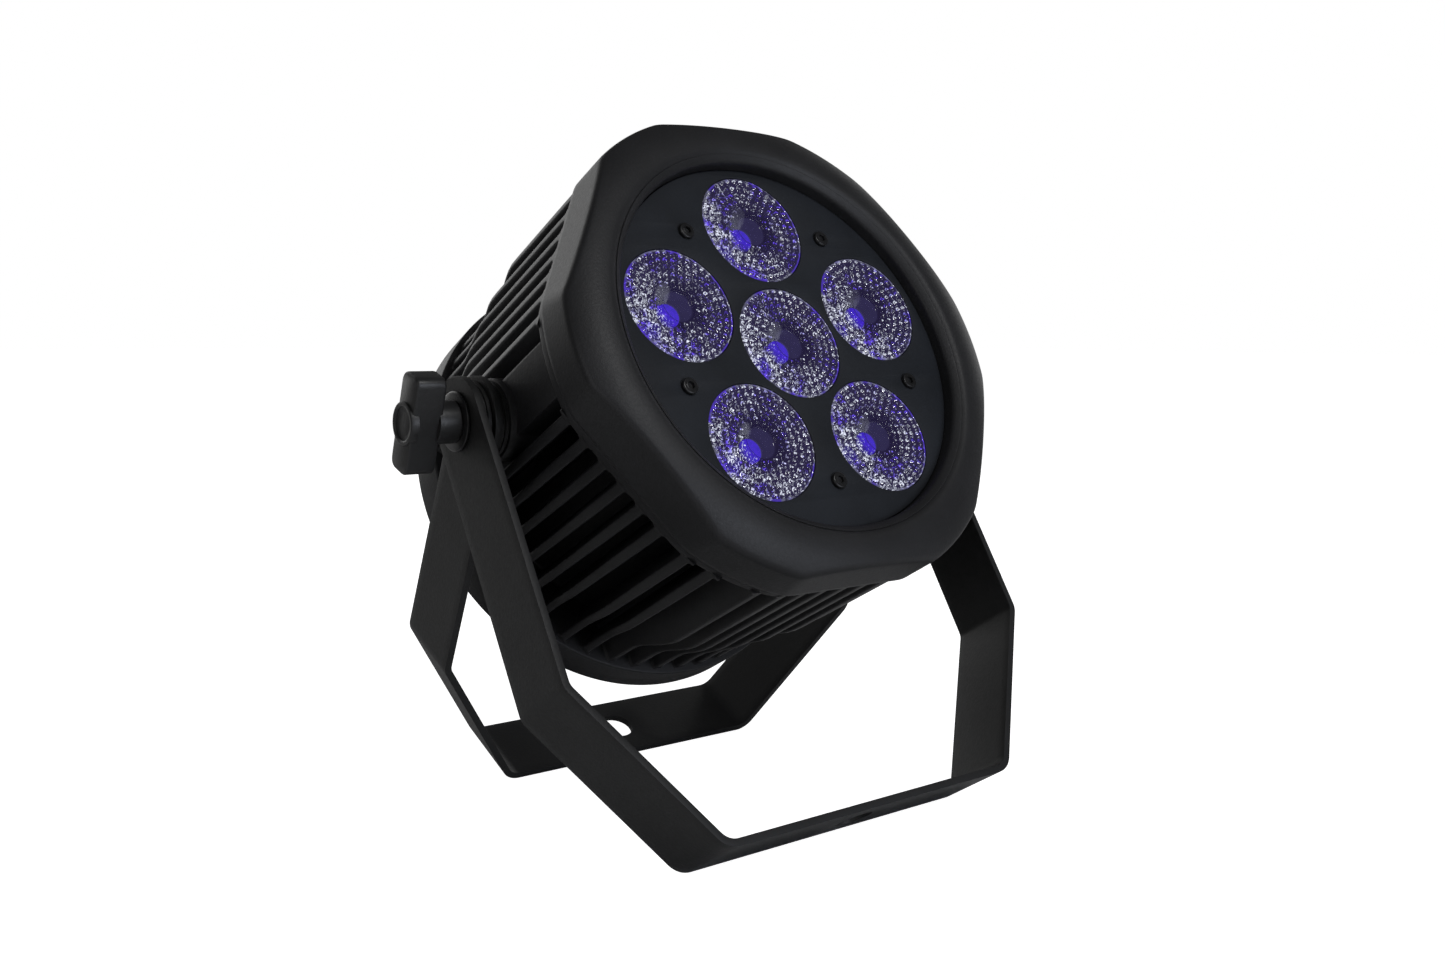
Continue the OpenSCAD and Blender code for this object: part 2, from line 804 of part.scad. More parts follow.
front_bezel();
bezel_gasket();
bezel_screws();
lens_plate();
plate_screws();
for (i = [1:LENS_COUNT]) lens(i);
for (i = [1:LENS_COUNT]) lens_holder(i);
led_emitters();
led_board();
thermal_pad();
heatsink_housing();
driver_board();
driver_components();
board_standoffs();
inner_wiring();
rear_cover();
cover_gasket();
cover_screws();
control_board();
display_module();
display_window();
power_inlet();
inlet_pins();
data_in_socket();
data_out_socket();
socket_screws();
safety_eye();
vent_plug();
for (i = [0:len(BUTTONS) - 1]) menu_button(i);
front_yoke();
rear_yoke();
for (s = SIDES) pivot_washer(s);
for (s = SIDES) yoke_spacer(s);
for (s = SIDES) knob_washer(s);
for (s = SIDES) knob_stud(s);
for (s = SIDES) knob(s);
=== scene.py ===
"""Looks of the LED par can light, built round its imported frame."""

import json
import math

import bmesh
import bpy
from mathutils import Matrix, Vector


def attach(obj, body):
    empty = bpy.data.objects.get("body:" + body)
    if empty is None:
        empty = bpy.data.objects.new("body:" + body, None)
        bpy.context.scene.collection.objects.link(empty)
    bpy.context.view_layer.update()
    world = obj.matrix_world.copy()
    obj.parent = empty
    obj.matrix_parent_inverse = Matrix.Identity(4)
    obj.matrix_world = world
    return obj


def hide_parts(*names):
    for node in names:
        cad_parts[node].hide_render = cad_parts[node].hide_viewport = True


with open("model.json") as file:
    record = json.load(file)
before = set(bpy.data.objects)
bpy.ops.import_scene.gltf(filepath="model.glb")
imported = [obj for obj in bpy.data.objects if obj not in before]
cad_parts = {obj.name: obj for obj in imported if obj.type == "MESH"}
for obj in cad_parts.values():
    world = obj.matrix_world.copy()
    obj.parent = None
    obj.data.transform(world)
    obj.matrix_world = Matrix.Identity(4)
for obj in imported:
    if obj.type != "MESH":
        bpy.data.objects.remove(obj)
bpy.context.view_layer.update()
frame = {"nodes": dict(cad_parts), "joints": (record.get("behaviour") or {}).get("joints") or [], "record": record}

JOINTS = {j["name"]: j for j in frame["joints"]}
MOUNTS = {m["name"]: m for m in frame["record"]["mounts"]}
NODE_SLOTS = {s["node"]: s["material_slot"] for s in frame["record"]["subparts"]}
SIDES = {"left": -1, "right": 1}
BUTTONS = ["button_menu", "button_down", "button_up", "button_enter"]


# ---- Shared sizes, in millimetres along the beam (Z) and out from its axis ----

MM = 0.001
CREST_Z = 63.2
CREST_R = 76
DOME_DROP = 4.5
BEZEL_BACK_Z = 43
BEZEL_IN_R = 71
BEZEL_R = 90
BEZEL_FLAT = 86
BEZEL_DRAFT = 1.6
LIP_R = 69.8
LIP_Z = 59.8
LEDGE_R = 67.6
LEDGE_Z = 47
PLATE_Z = 56.3
PLATE_T = 2.5
PLATE_R = 69.5
LENS_R = 21
LENS_CIRCLE = 45.1
LENS_BACK_Z = 39.7
LENS_BACK_R = 5.6
LENS_WALL_H = 12.5
LENS_FLANGE_R = 22
LENS_FLANGE_Z = 53.5
HOLLOW_R = 4.4
WELL_R = 6.2
WELL_Z = 54.6
GLOW_Z = 48.6
SCREW_CIRCLE = 52.4
FLANGE_Z = 42.2
FIN_Z = 38.4
FIN_BACK_Z = -54.5
FIN_FRONT_R = 88.6
FIN_REAR_R = 82.6
FIN_FLAT = 84.5
FIN_PITCH = 9.1
TUBE_R = 64
TUBE_IN_R = 60
FLOOR_Z = 30
REAR_R = 84.7
RIM_Z = -70.6
COVER_Z = -69.4
COVER_R = 80.4
COVER_T = 2.8
COVER_SCREW_CIRCLE = 74.2
BUTTON_PITCH = 15
BUTTON_Y = 12
STRAP_W = 30
STRAP_T = 2.5
HOLE_R = 6.75


# ---- Frames: millimetres in the lamp or a yoke, to metres in the row ----

def frame_matrix(z_axis):
    """From millimetres about the pivot, with the given Z and the pivot's own X, to the row."""
    z = Vector(z_axis).normalized()
    x = Vector((1, 0, 0))
    y = z.cross(x)
    turn = Matrix((x, y, z)).transposed().to_4x4()
    return Matrix.Translation(PIVOT) @ turn @ Matrix.Scale(MM, 4)


PIVOT = Vector(JOINTS["housing_tilt"]["pos_m"])
LAMP = frame_matrix(JOINTS["button_menu_press"]["axis"])
FRONT_YOKE = frame_matrix(-Vector(MOUNTS["front_yoke_hole"]["axis"]))
REAR_YOKE = frame_matrix(-Vector(MOUNTS["rear_yoke_hole"]["axis"]))


# ---- Shader steps: each adds a node and returns what comes out of it ----

def new_material(name):
    material = bpy.data.materials.new(name)
    material.use_nodes = True
    tree = material.node_tree
    return material, tree, tree.nodes["Principled BSDF"]


def add_noise(tree, coordinates, scale, detail=2.0, distortion=0.0):
    noise = tree.nodes.new("ShaderNodeTexNoise")
    noise.inputs["Scale"].default_value = scale
    noise.inputs["Detail"].default_value = detail
    noise.inputs["Distortion"].default_value = distortion
    tree.links.new(coordinates.outputs["Object"], noise.inputs["Vector"])
    return noise.outputs["Fac"]


def add_ramp(tree, source, low, high, start=0.35, end=0.65):
    ramp = tree.nodes.new("ShaderNodeValToRGB")
    ramp.color_ramp.elements[0].position = start
    ramp.color_ramp.elements[1].position = end
    ramp.color_ramp.elements[0].color = (*low, 1)
    ramp.color_ramp.elements[1].color = (*high, 1)
    tree.links.new(source, ramp.inputs["Fac"])
    return ramp.outputs["Color"]


def add_range(tree, source, low, high, start=0.0, end=1.0):
    span = tree.nodes.new("ShaderNodeMapRange")
    span.inputs["From Min"].default_value = start
    span.inputs["From Max"].default_value = end
    span.inputs["To Min"].default_value = low
    span.inputs["To Max"].default_value = high
    tree.links.new(source, span.inputs["Value"])
    return span.outputs["Result"]


def add_vector(tree, operation, source, other=(0, 0, 0)):
    step = tree.nodes.new("ShaderNodeVectorMath")
    step.operation = operation
    step.inputs[1].default_value = other
    tree.links.new(source, step.inputs[0])
    return step


def add_math(tree, operation, first, second):
    step = tree.nodes.new("ShaderNodeMath")
    step.operation = operation
    tree.links.new(first, step.inputs[0])
    tree.links.new(second, step.inputs[1])
    return step.outputs["Value"]


# ---- Materials ----

def surface(name, color, roughness, grain=700, relief=0.12, depth=0.0002,
            specular=0.4, metallic=0.0, coat=0.0):
    """A coated, moulded or plated finish: fine grain, and colour and gloss that wander a little."""
    colour_spread, gloss_spread = 0.18, 0.08
    material, tree, shader = new_material(name)
    coordinates = tree.nodes.new("ShaderNodeTexCoord")
    patches = add_noise(tree, coordinates, 38, 4)
    fine = add_noise(tree, coordinates, grain, 3)
    dark = [c * (1 - colour_spread) for c in color]
    light = [c * (1 + colour_spread) for c in color]
    tree.links.new(add_ramp(tree, patches, dark, light), shader.inputs["Base Color"])
    gloss = add_range(tree, fine, roughness - gloss_spread, roughness + gloss_spread)
    tree.links.new(gloss, shader.inputs["Roughness"])
    bump = tree.nodes.new("ShaderNodeBump")
    bump.inputs["Strength"].default_value = relief
    bump.inputs["Distance"].default_value = depth
    tree.links.new(fine, bump.inputs["Height"])
    tree.links.new(bump.outputs["Normal"], shader.inputs["Normal"])
    shader.inputs["Specular IOR Level"].default_value = specular
    shader.inputs["Metallic"].default_value = metallic
    shader.inputs["Coat Weight"].default_value = coat
    return material


def painted_bump_highlights(tree, coordinates, fine):
    """A painted highlight: a small bright spot on the same side of every bump, some brighter than others."""
    # The painted highlight falls where a bump's normal faces this fixed direction, as a small lamp's glint would.
    painted_highlight_side = (LAMP.to_3x3() @ Vector((-0.22, 0.2, 1))).normalized()
    towards = add_vector(tree, "DOT_PRODUCT", coordinates.outputs["Normal"], painted_highlight_side)
    painted_spot = add_range(tree, towards.outputs["Value"], 0, 1, 0.984, 0.993)
    vary = add_range(tree, fine, 0.2, 1, 0.4, 0.6)
    return add_math(tree, "MULTIPLY", painted_spot, vary)


def painted_emitter_reflections(tree, coordinates, place, radius):
    """Painted reflections of the emitter, broken up and dense on the low outer side of each lens."""
    # The painted reflections grow denser towards this side of each lens.
    painted_reflection_side = (-0.86, -0.5, 0)
    lean = add_vector(tree, "DOT_PRODUCT", place.outputs["Vector"], painted_reflection_side)
    dense = add_range(tree, lean.outputs["Value"], 0, 0.12, -6, 15)
    painted_streaks = add_noise(tree, coordinates, 560, 2, 2.2)
    bright = add_range(tree, add_math(tree, "ADD", painted_streaks, dense), 0, 1, 0.65, 0.76)
    outside_well = add_range(tree, radius, 0, 1, WELL_R + 1, WELL_R + 3.5)
    return add_math(tree, "MULTIPLY", bright, outside_well)


def painted_rim_highlight(tree, radius, patches):
    """A painted highlight: the moulded edge is lit in a thin line that comes and goes."""
    edge = add_range(tree, radius, 0, 1, LENS_R - 0.75, LENS_R - 0.45)
    vary = add_range(tree, patches, 0.03, 0.45, 0.42, 0.62)
    return add_math(tree, "MULTIPLY", edge, vary)


def painted_lens_highlights(tree, coordinates, place, radius, patches, fine):
    """How much painted highlight and painted reflection each point of the face gets: bump spots, emitter
    reflections and rim, and none behind the face.
    """
    painted_spots = painted_bump_highlights(tree, coordinates, fine)
    painted_streaks = painted_emitter_reflections(tree, coordinates, place, radius)
    inside = add_math(tree, "MAXIMUM", painted_spots, painted_streaks)
    painted_spark_mask = add_math(tree, "MAXIMUM", inside, painted_rim_highlight(tree, radius, patches))
    split = tree.nodes.new("ShaderNodeSeparateXYZ")
    tree.links.new(place.outputs["Vector"], split.inputs["Vector"])
    front = add_range(tree, split.outputs["Z"], 0, 1, PLATE_Z - 1, PLATE_Z - 0.8)
    return add_math(tree, "MULTIPLY", painted_spark_mask, front)


def lens_acrylic():
    """Clear moulded acrylic, clearest over the emitter. Its face carries a painted glow, dim violet and brighter
    in the well, for the emitter's light scattered in the lens, and painted highlights and reflections in white and
    blue.
    """
    # Colours of the painted glow (dim violet, brighter in the well) and of the painted highlights and reflections
    # (white and blue).
    painted_glow_violet, painted_well_glow = (0.012, 0.009, 0.034), (0.05, 0.044, 0.13)
    painted_spark_white, painted_spark_blue = (0.82, 0.86, 1.0), (0.14, 0.07, 0.9)
    material, tree, shader = new_material("lens_clear")
    coordinates = tree.nodes.new("ShaderNodeTexCoord")
    place = tree.nodes.new("ShaderNodeAttribute")
    place.attribute_name = "place"
    flat = add_vector(tree, "MULTIPLY", place.outputs["Vector"], (1, 1, 0))
    radius = add_vector(tree, "LENGTH", flat.outputs["Vector"]).outputs["Value"]
    patches = add_noise(tree, coordinates, 150, 2)
    fine = add_noise(tree, coordinates, 420, 2)
    lights = painted_lens_highlights(tree, coordinates, place, radius, patches, fine)
    # The painted glow is brighter inside the well.
    in_well = add_range(tree, radius, 1, 0, WELL_R - 0.9, WELL_R - 0.3)
    # Emission: the painted violet glow, mixed to white and blue where the painted highlights and reflections fall.
    glow = tree.nodes.new("ShaderNodeMix")
    glow.data_type = "RGBA"
    tree.links.new(lights, glow.inputs["Factor"])
    tree.links.new(add_ramp(tree, in_well, painted_glow_violet, painted_well_glow, 0, 1), glow.inputs["A"])
    tree.links.new(add_ramp(tree, patches, painted_spark_white, painted_spark_blue, 0.46, 0.57), glow.inputs["B"])
    tree.links.new(glow.outputs["Result"], shader.inputs["Emission Color"])
    shader.inputs["Emission Strength"].default_value = 1.0
    tint = add_ramp(tree, fine, (0.008, 0.006, 0.02), (0.02, 0.016, 0.045))
    tree.links.new(tint, shader.inputs["Base Color"])
    tree.links.new(add_range(tree, fine, 0.05, 0.15), shader.inputs["Roughness"])
    clear_centre = add_range(tree, radius, 0.3, 0.85, 8.5, 12)
    tree.links.new(add_math(tree, "MAXIMUM", clear_centre, lights), shader.inputs["Alpha"])
    return material


def led_glow():
    """The lit emitter: deep blue, a little brighter in fine patches."""
    material, tree, shader = new_material("led_light")
    coordinates = tree.nodes.new("ShaderNodeTexCoord")
    cells = add_noise(tree, coordinates, 900, 1)
    glow = add_ramp(tree, cells, (0.03, 0.0, 0.75), (0.06, 0.0, 1.0))
    tree.links.new(glow, shader.inputs["Emission Color"])
    shader.inputs["Emission Strength"].default_value = 1.0
    shader.inputs["Base Color"].default_value = (0.01, 0.0, 0.06, 1)
    return material


def smoked_window():
    """The display's dark glossy window, with a fine smear in its gloss."""
    material, tree, shader = new_material("display_glass")
    coordinates = tree.nodes.new("ShaderNodeTexCoord")
    smear = add_noise(tree, coordinates, 90, 5)
    tree.links.new(add_range(tree, smear, 0.04, 0.16), shader.inputs["Roughness"])
    tone = add_ramp(tree, smear, (0.004, 0.004, 0.005), (0.012, 0.012, 0.014))
    tree.links.new(tone, shader.inputs["Base Color"])
    return material


MATERIALS = {
    "cast_black": surface("cast_black", (0.012, 0.012, 0.0132), 0.5, 1100, 0.35, 0.00018, specular=0.3),
    "plate_grey": surface("plate_grey", (0.012, 0.014, 0.018), 0.6, 1400, 0.3, 0.00015, specular=0.2),
    "yoke_black": surface("yoke_black", (0.011, 0.011, 0.0112), 0.5, 1000, 0.35, 0.00018, specular=0.3),
    "lens_clear": lens_acrylic(),
    "holder_black": surface("holder_black", (0.009, 0.008, 0.018), 0.5),
    "led_light": led_glow(),
    "board_white": surface("board_white", (0.7, 0.7, 0.66), 0.35, 300, 0.05),
    "pad_grey": surface("pad_grey", (0.42, 0.42, 0.44), 0.8, 500, 0.2),
    "board_green": surface("board_green", (0.02, 0.14, 0.06), 0.35, 300, 0.06, coat=0.3),
    "component_grey": surface("component_grey", (0.05, 0.05, 0.06), 0.5),
    "wire_red": surface("wire_red", (0.35, 0.02, 0.02), 0.45),
    "bright_steel": surface("bright_steel", (0.6, 0.6, 0.61), 0.3, 500, 0.08, metallic=1.0),
    "black_steel": surface("black_steel", (0.012, 0.012, 0.013), 0.3, 600, 0.1, metallic=0.3),
    "seal_rubber": surface("seal_rubber", (0.006, 0.006, 0.006), 0.7),
    "socket_plastic": surface("socket_plastic", (0.014, 0.014, 0.015), 0.42, 900, 0.15),
    "button_rubber": surface("button_rubber", (0.045, 0.045, 0.05), 0.65, 900, 0.2),
    "display_glass": smoked_window(),
    "washer_nylon": surface("washer_nylon", (0.012, 0.012, 0.012), 0.4, 600, 0.1),
    "knob_plastic": surface("knob_plastic", (0.016, 0.016, 0.0165), 0.4, 1200, 0.25),
}


# ---- Curves and numbers ----

def around(count, first=0.0):
    """Angles spread evenly over a full turn."""
    return [first + 2 * math.pi * k / count for k in range(count)]


def polar(radius, angle, centre=(0, 0)):
    return centre[0] + radius * math.cos(angle), centre[1] + radius * math.sin(angle)


def smooth_min(a, b, blend):
    h = max(blend - abs(a - b), 0) / blend
    return min(a, b) - h * h * blend / 4


def ease(u):
    u = min(max(u, 0), 1)
    return u * u * (3 - 2 * u)


def off_flat(angle, first=30):
    """How far an angle is from the nearest of six flats, in radians."""
    step = math.radians(60)
    return (angle - math.radians(first) + step / 2) % step - step / 2


def rounded_corner(start, corner, end, t):
    return (1 - t) ** 2 * start + 2 * t * (1 - t) * corner + t * t * end


def smoothed(points, radius, steps=4):
    """A closed outline with every corner rounded. radius may be one number or one for each corner."""
    radii = radius if isinstance(radius, (list, tuple)) else [radius] * len(points)
    count = len(points)
    longest_cut = 0.48
    out = []
    for i, point in enumerate(points):
        corner = Vector(point)
        before = Vector(points[i - 1]) - corner
        after = Vector(points[(i + 1) % count]) - corner
        start = corner + before.normalized() * min(radii[i], before.length * longest_cut)
        end = corner + after.normalized() * min(radii[i], after.length * longest_cut)
        out += [rounded_corner(start, corner, end, k / steps) for k in range(steps + 1)]
    return out


def box_outline(width, height, corner, centre=(0, 0), steps=5):
    x, y = width / 2, height / 2
    corners = [(-x, -y), (x, -y), (x, y), (-x, y)]
    return [Vector(centre) + p for p in smoothed(corners, corner, steps)]


def circle_outline(radius, centre=(0, 0), steps=64):
    return [Vector(polar(radius, angle, centre)) for angle in around(steps)]


# ---- Making meshes ----

def add_loops(bm, loops, closed_rows=False, caps=False):
    """Skins a row of closed point loops, all with the same number of 3-D points."""
    rows = [[bm.verts.new(p) for p in loop] for loop in loops]
    pairs = list(zip(rows, rows[1:]))
    if closed_rows:
        pairs.append((rows[-1], rows[0]))
    for lower, upper in pairs:
        for i in range(len(lower)):
            j = (i + 1) % len(lower)
            bm.faces.new((lower[i], lower[j], upper[j], upper[i]))
    if caps:
        bm.faces.new(rows[0][::-1])
        bm.faces.new(rows[-1])


def add_turned_sections(bm, section_at, steps):
    """Closed sections of points (out, along Z), one for each angle round Z."""
    loops = []
    for angle in around(steps):
        loops.append([(*polar(p[0], angle), p[1]) for p in section_at(angle)])
    add_loops(bm, loops, closed_rows=True)


def turned(bm, section, steps=96):
    """A closed section of (radius, height) points turned round Z."""
    add_turned_sections(bm, lambda angle: section, steps)


def turned_solid(bm, profile, steps=48, centre=(0, 0)):
    """An open profile of (radius, height) points, from axis to axis, turned round Z."""
    loops = [[(*polar(r, angle, centre), z) for angle in around(steps)] for r, z in profile]
    add_loops(bm, loops, caps=True)


def prism(bm, outline, low, high, edge, steps=3):
    """An outline raised from low to high, with both rims rounded by edge."""
    centre = sum((Vector(p) for p in outline), Vector((0, 0))) / len(outline)
    quarter = [math.pi / 2 * k / steps for k in range(steps + 1)]
    rims = [(low + edge * (1 - math.cos(a)), edge * (1 - math.sin(a))) for a in quarter]
    rims += [(high - edge * (1 - math.cos(a)), edge * (1 - math.sin(a))) for a in reversed(quarter)]
    rows = []
    for z, inset in rims:
        row = []
        for p in outline:
            offset = Vector(p) - centre
            q = centre + offset * (offset.length - inset) / offset.length
            row.append((q.x, q.y, z))
        rows.append(row)
    add_loops(bm, rows, caps=True)


def plate(outlines, low, high, edge):
    """A flat plate with holes, its rims rounded, as a bmesh. The first outline is the plate's own."""
    curve = bpy.data.curves.new("plate", "CURVE")
    curve.dimensions = "2D"
    curve.fill_mode = "BOTH"
    curve.extrude = (high - low) / 2 - edge
    curve.bevel_depth = edge
    curve.bevel_resolution = 2
    curve.offset = -edge
    for outline in outlines:
        spline = curve.splines.new("POLY")
        spline.points.add(len(outline) - 1)
        for point, p in zip(spline.points, outline):
            point.co = (p[0], p[1], 0, 1)
        spline.use_cyclic_u = True
    holder = bpy.data.objects.new("plate", curve)
    bpy.context.scene.collection.objects.link(holder)
    bpy.context.view_layer.update()
    mesh = bpy.data.meshes.new_from_object(holder.evaluated_get(bpy.context.evaluated_depsgraph_get()))
    bm = bmesh.new()
    bm.from_mesh(mesh)
    bmesh.ops.translate(bm, verts=bm.verts, vec=(0, 0, (low + high) / 2))
    bpy.data.objects.remove(holder)
    bpy.data.curves.remove(curve)
    bpy.data.meshes.remove(mesh)
    return bm


# ---- Making pieces ----

def piece_from(name, mesh, body, slot, replaces):
    """An object for a finished mesh, in its slot's material, that rides on a body."""
    mesh.materials.append(MATERIALS[slot])
    piece = bpy.data.objects.new(name, mesh)
    bpy.context.scene.collection.objects.link(piece)
    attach(piece, body)
    if replaces:
        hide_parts(*replaces)
    return piece


def shade(mesh, sharp):
    mesh.shade_smooth()
    mesh.set_sharp_from_angle(angle=math.radians(sharp))


def make_piece(name, bm, matrix, body, slot, replaces=(), sharp=35):
    """A mesh in a frame's millimetres becomes a piece that rides on a body."""
    merge_distance = 0.0005
    bmesh.ops.remove_doubles(bm, verts=bm.verts, dist=merge_distance)
    bmesh.ops.recalc_face_normals(bm, faces=bm.faces)
    mesh = bpy.data.meshes.new(name)
    bm.to_mesh(mesh)
    bm.free()
    mesh.transform(matrix)
    if matrix.determinant() < 0:
        mesh.flip_normals()
    shade(mesh, sharp)
    return piece_from(name, mesh, body, slot, replaces)


def break_edges(piece, width, segments, angle, sharp):
    """Bevels a piece's edges, and bakes its modifiers into its mesh."""
    bevel = piece.modifiers.new("edges", "BEVEL")
    bevel.width = width * MM
    bevel.segments = segments
    bevel.limit_method = "ANGLE"
    bevel.angle_limit = math.radians(angle)
    evaluated = piece.evaluated_get(bpy.context.evaluated_depsgraph_get())
    mesh = bpy.data.meshes.new_from_object(evaluated)
    piece.modifiers.clear()
    piece.data = mesh
    shade(mesh, sharp)


def softened(node, body, width):
    """A copy of a CAD node with its edges broken, as moulding or deburring leaves them."""
    merge_distance = 0.002
    bm = bmesh.new()
    bm.from_mesh(frame["nodes"][node].data)
    bmesh.ops.scale(bm, verts=bm.verts, vec=(1 / MM,) * 3)
    bmesh.ops.remove_doubles(bm, verts=bm.verts, dist=merge_distance)
    bmesh.ops.dissolve_limit(
        bm, angle_limit=math.radians(1), verts=bm.verts, edges=bm.edges, delimit={"NORMAL"}
    )
    piece = make_piece(f"{node}_soft", bm, Matrix.Scale(MM, 4), body, NODE_SLOTS[node], (node,))
    break_edges(piece, width, 2, 40, 35)


# ---- Front bezel ----

def bezel_wall(angle, z):
    """The outer wall: a round outline cut by six flats, which lean in towards the front."""
    lean = BEZEL_DRAFT * (z - BEZEL_BACK_Z) / (CREST_Z - BEZEL_BACK_Z)
    return smooth_min(BEZEL_R, (BEZEL_FLAT - lean) / math.cos(off_flat(angle)), 0.8)


def dome_z(r):
    """Height of the domed front, which falls away more and more outside its crest."""
    return CREST_Z - DOME_DROP * (max(r - CREST_R, 0) / (BEZEL_R - CREST_R)) ** 2


def bezel_section(angle):
    """The bezel's closed section at an angle: back, ledge, lip, dome, ridge and wall."""
    ridge_in, ridge_down, dome_steps, wall_steps, ridge_steps = 1.5, 2.0, 12, 10, 6
    lip_reach, lip_drop = 3.6, 0.9
    foot_edge = 0.6
    edge_r = bezel_wall(angle, CREST_Z)
    for _ in range(6):
        edge_r = bezel_wall(angle, dome_z(edge_r))
    edge_z = dome_z(edge_r)
    ledge_front_z = PLATE_Z - PLATE_T
    recess = smoothed(
        [(BEZEL_IN_R, BEZEL_BACK_Z), (BEZEL_IN_R, LEDGE_Z), (LEDGE_R, LEDGE_Z), (LEDGE_R, ledge_front_z),
         (LIP_R, ledge_front_z), (LIP_R, LIP_Z + 0.7), (CREST_R - 3.4, CREST_Z - 0.7)],
        [0.2, 0.3, 0.3, 0.3, 0.2, 1.2, 0.5], 4,
    )
    lip = [Vector((CREST_R - u, CREST_Z - lip_drop * (u / lip_reach) ** 2)) for u in (2.4, 1.4, 0.6)]
    dome_end = edge_r - ridge_in
    dome_rs = [CREST_R + (dome_end - CREST_R) * k / dome_steps for k in range(dome_steps + 1)]
    dome = [Vector((r, dome_z(r))) for r in dome_rs]
    wall_top = edge_z - ridge_down
    wall_foot = BEZEL_BACK_Z + foot_edge
    wall_zs = [wall_top + (wall_foot - wall_top) * k / wall_steps for k in range(wall_steps + 1)]
    wall = [Vector((bezel_wall(angle, z), z)) for z in wall_zs]
    corner = Vector((edge_r, edge_z))
    ridge = [rounded_corner(dome[-1], corner, wall[0], k / ridge_steps) for k in range(1, ridge_steps)]
    foot = Vector((wall[-1].x - foot_edge, BEZEL_BACK_Z))
    return recess + lip + dome + ridge + wall + [foot]


def front_bezel():
    bm = bmesh.new()
    add_turned_sections(bm, bezel_section, 432)
    make_piece("bezel_casting", bm, LAMP, "housing", "cast_black", ("front_bezel",), 50)


# ---- Housing ----

def fin_reach(z, across):
    """How far out a fin goes: a waisted round outline, cut by the flats."""
    envelope = FIN_FRONT_R + (FIN_REAR_R - FIN_FRONT_R) * ease((-10 - z) / 30)
    return smooth_min(FIN_FLAT, math.sqrt(envelope**2 - across**2), 1.5)


def fin_flare(z):
    """How much a fin widens where it runs into the front flange or the rear ring."""
    flare = 1.5
    near = max(min(FIN_Z - z, z - FIN_BACK_Z), 0)
    if near >= flare:
        return 0
    return flare - math.sqrt(flare**2 - (flare - near) ** 2)


def fin_section(z, across):
    """A fin's section at a height: points (out, across) from root to root."""
    corner, root, draft = 0.8, 61, 0.5
    half = 1.45 + 0.5 * ease((z + 45) / 75) + fin_flare(z)
    reach = fin_reach(z, across)
    quarter = [math.pi / 2 * k / 3 for k in range(4)]
    tip = [(reach - corner + corner * math.sin(a), half - corner + corner * math.cos(a)) for a in quarter]
    upper = [(root, half + draft), *tip]
    return [(r, across + w) for r, w in upper] + [(r, across - w) for r, w in reversed(upper)]


def fin_heights():
    """Close together where a fin flares at its two ends, and even between them."""
    near_front = [FIN_Z + d for d in (1, 0, -0.15, -0.5, -1, -1.5)]
    body = [FIN_Z - 1.5 - (FIN_Z - FIN_BACK_Z - 3) * k / 22 for k in range(1, 22)]
    near_back = [FIN_BACK_Z + d for d in (1.5, 1, 0.5, 0.15, -1)]
    return near_front + body + near_back


def add_fin(bm, facing, across, flip_x, flip_y):
    """One fin at a distance across the direction that its bank faces."""
    c, s = math.cos(facing), math.sin(facing)
    loops = []
    for z in fin_heights():
        loops.append([
            (flip_x * (out * c - side * s), flip_y * (out * s + side * c), z)
            for out, side in fin_section(z, across)
        ])
    add_loops(bm, loops, caps=True)


def add_fins(bm):
    """Four slanted banks with a wide gap each, and a straight bank above and below."""
    bank, narrow_fins, wide_gap, first_across = 8, 6, 12.1, -27.8
    for flip_x in (1, -1):
        for flip_y in (1, -1):
            for i in range(bank):
                extra = wide_gap - FIN_PITCH if i >= narrow_fins else 0
                add_fin(bm, math.radians(30), first_across + FIN_PITCH * i + extra, flip_x, flip_y)
    for flip_y in (1, -1):
        for i in range(bank):
            add_fin(bm, math.pi / 2, (i - (bank - 1) / 2) * (FIN_PITCH + 0.3), 1, flip_y)


def flange_section(angle):
    """The front flange that the fins hang from, with its long edges broken."""
    reach = smooth_min(FIN_FRONT_R, FIN_FLAT / math.cos(off_flat(angle)), 1.5)
    inner = TUBE_R + 1
    return smoothed([(inner, FIN_Z), (reach, FIN_Z), (reach, FLANGE_Z), (inner, FLANGE_Z)], 0.7, 3)


def add_pivot_pad(bm, side):
    """The plain block behind each pivot, with the round boss that the washer bears on."""
    root_x, pad_x, boss_x, boss_r, pad_w = 61, 87.8, 90, 14, 20.4
    pad = box_outline(FIN_Z + boss_r + 0.5, pad_w, 1.2, ((FIN_Z - boss_r) / 2, 0))
    rows = []
    for x, inset in ((root_x, 0), (pad_x - 1, 0), (pad_x - 0.3, 0.3), (pad_x, 1)):
        rows.append([(side * x, y * (1 - inset / 12), z - inset * 0.5) for z, y in pad])
    add_loops(bm, rows, caps=True)
    profile = [(0, root_x), (boss_r, root_x), (boss_r, boss_x - 0.6), (boss_r - 0.2, boss_x - 0.2),
               (boss_r - 0.7, boss_x), (0, boss_x)]
    rows = [[(side * x, *polar(r, angle)) for angle in around(64)] for r, x in profile]
    add_loops(bm, rows, caps=True)


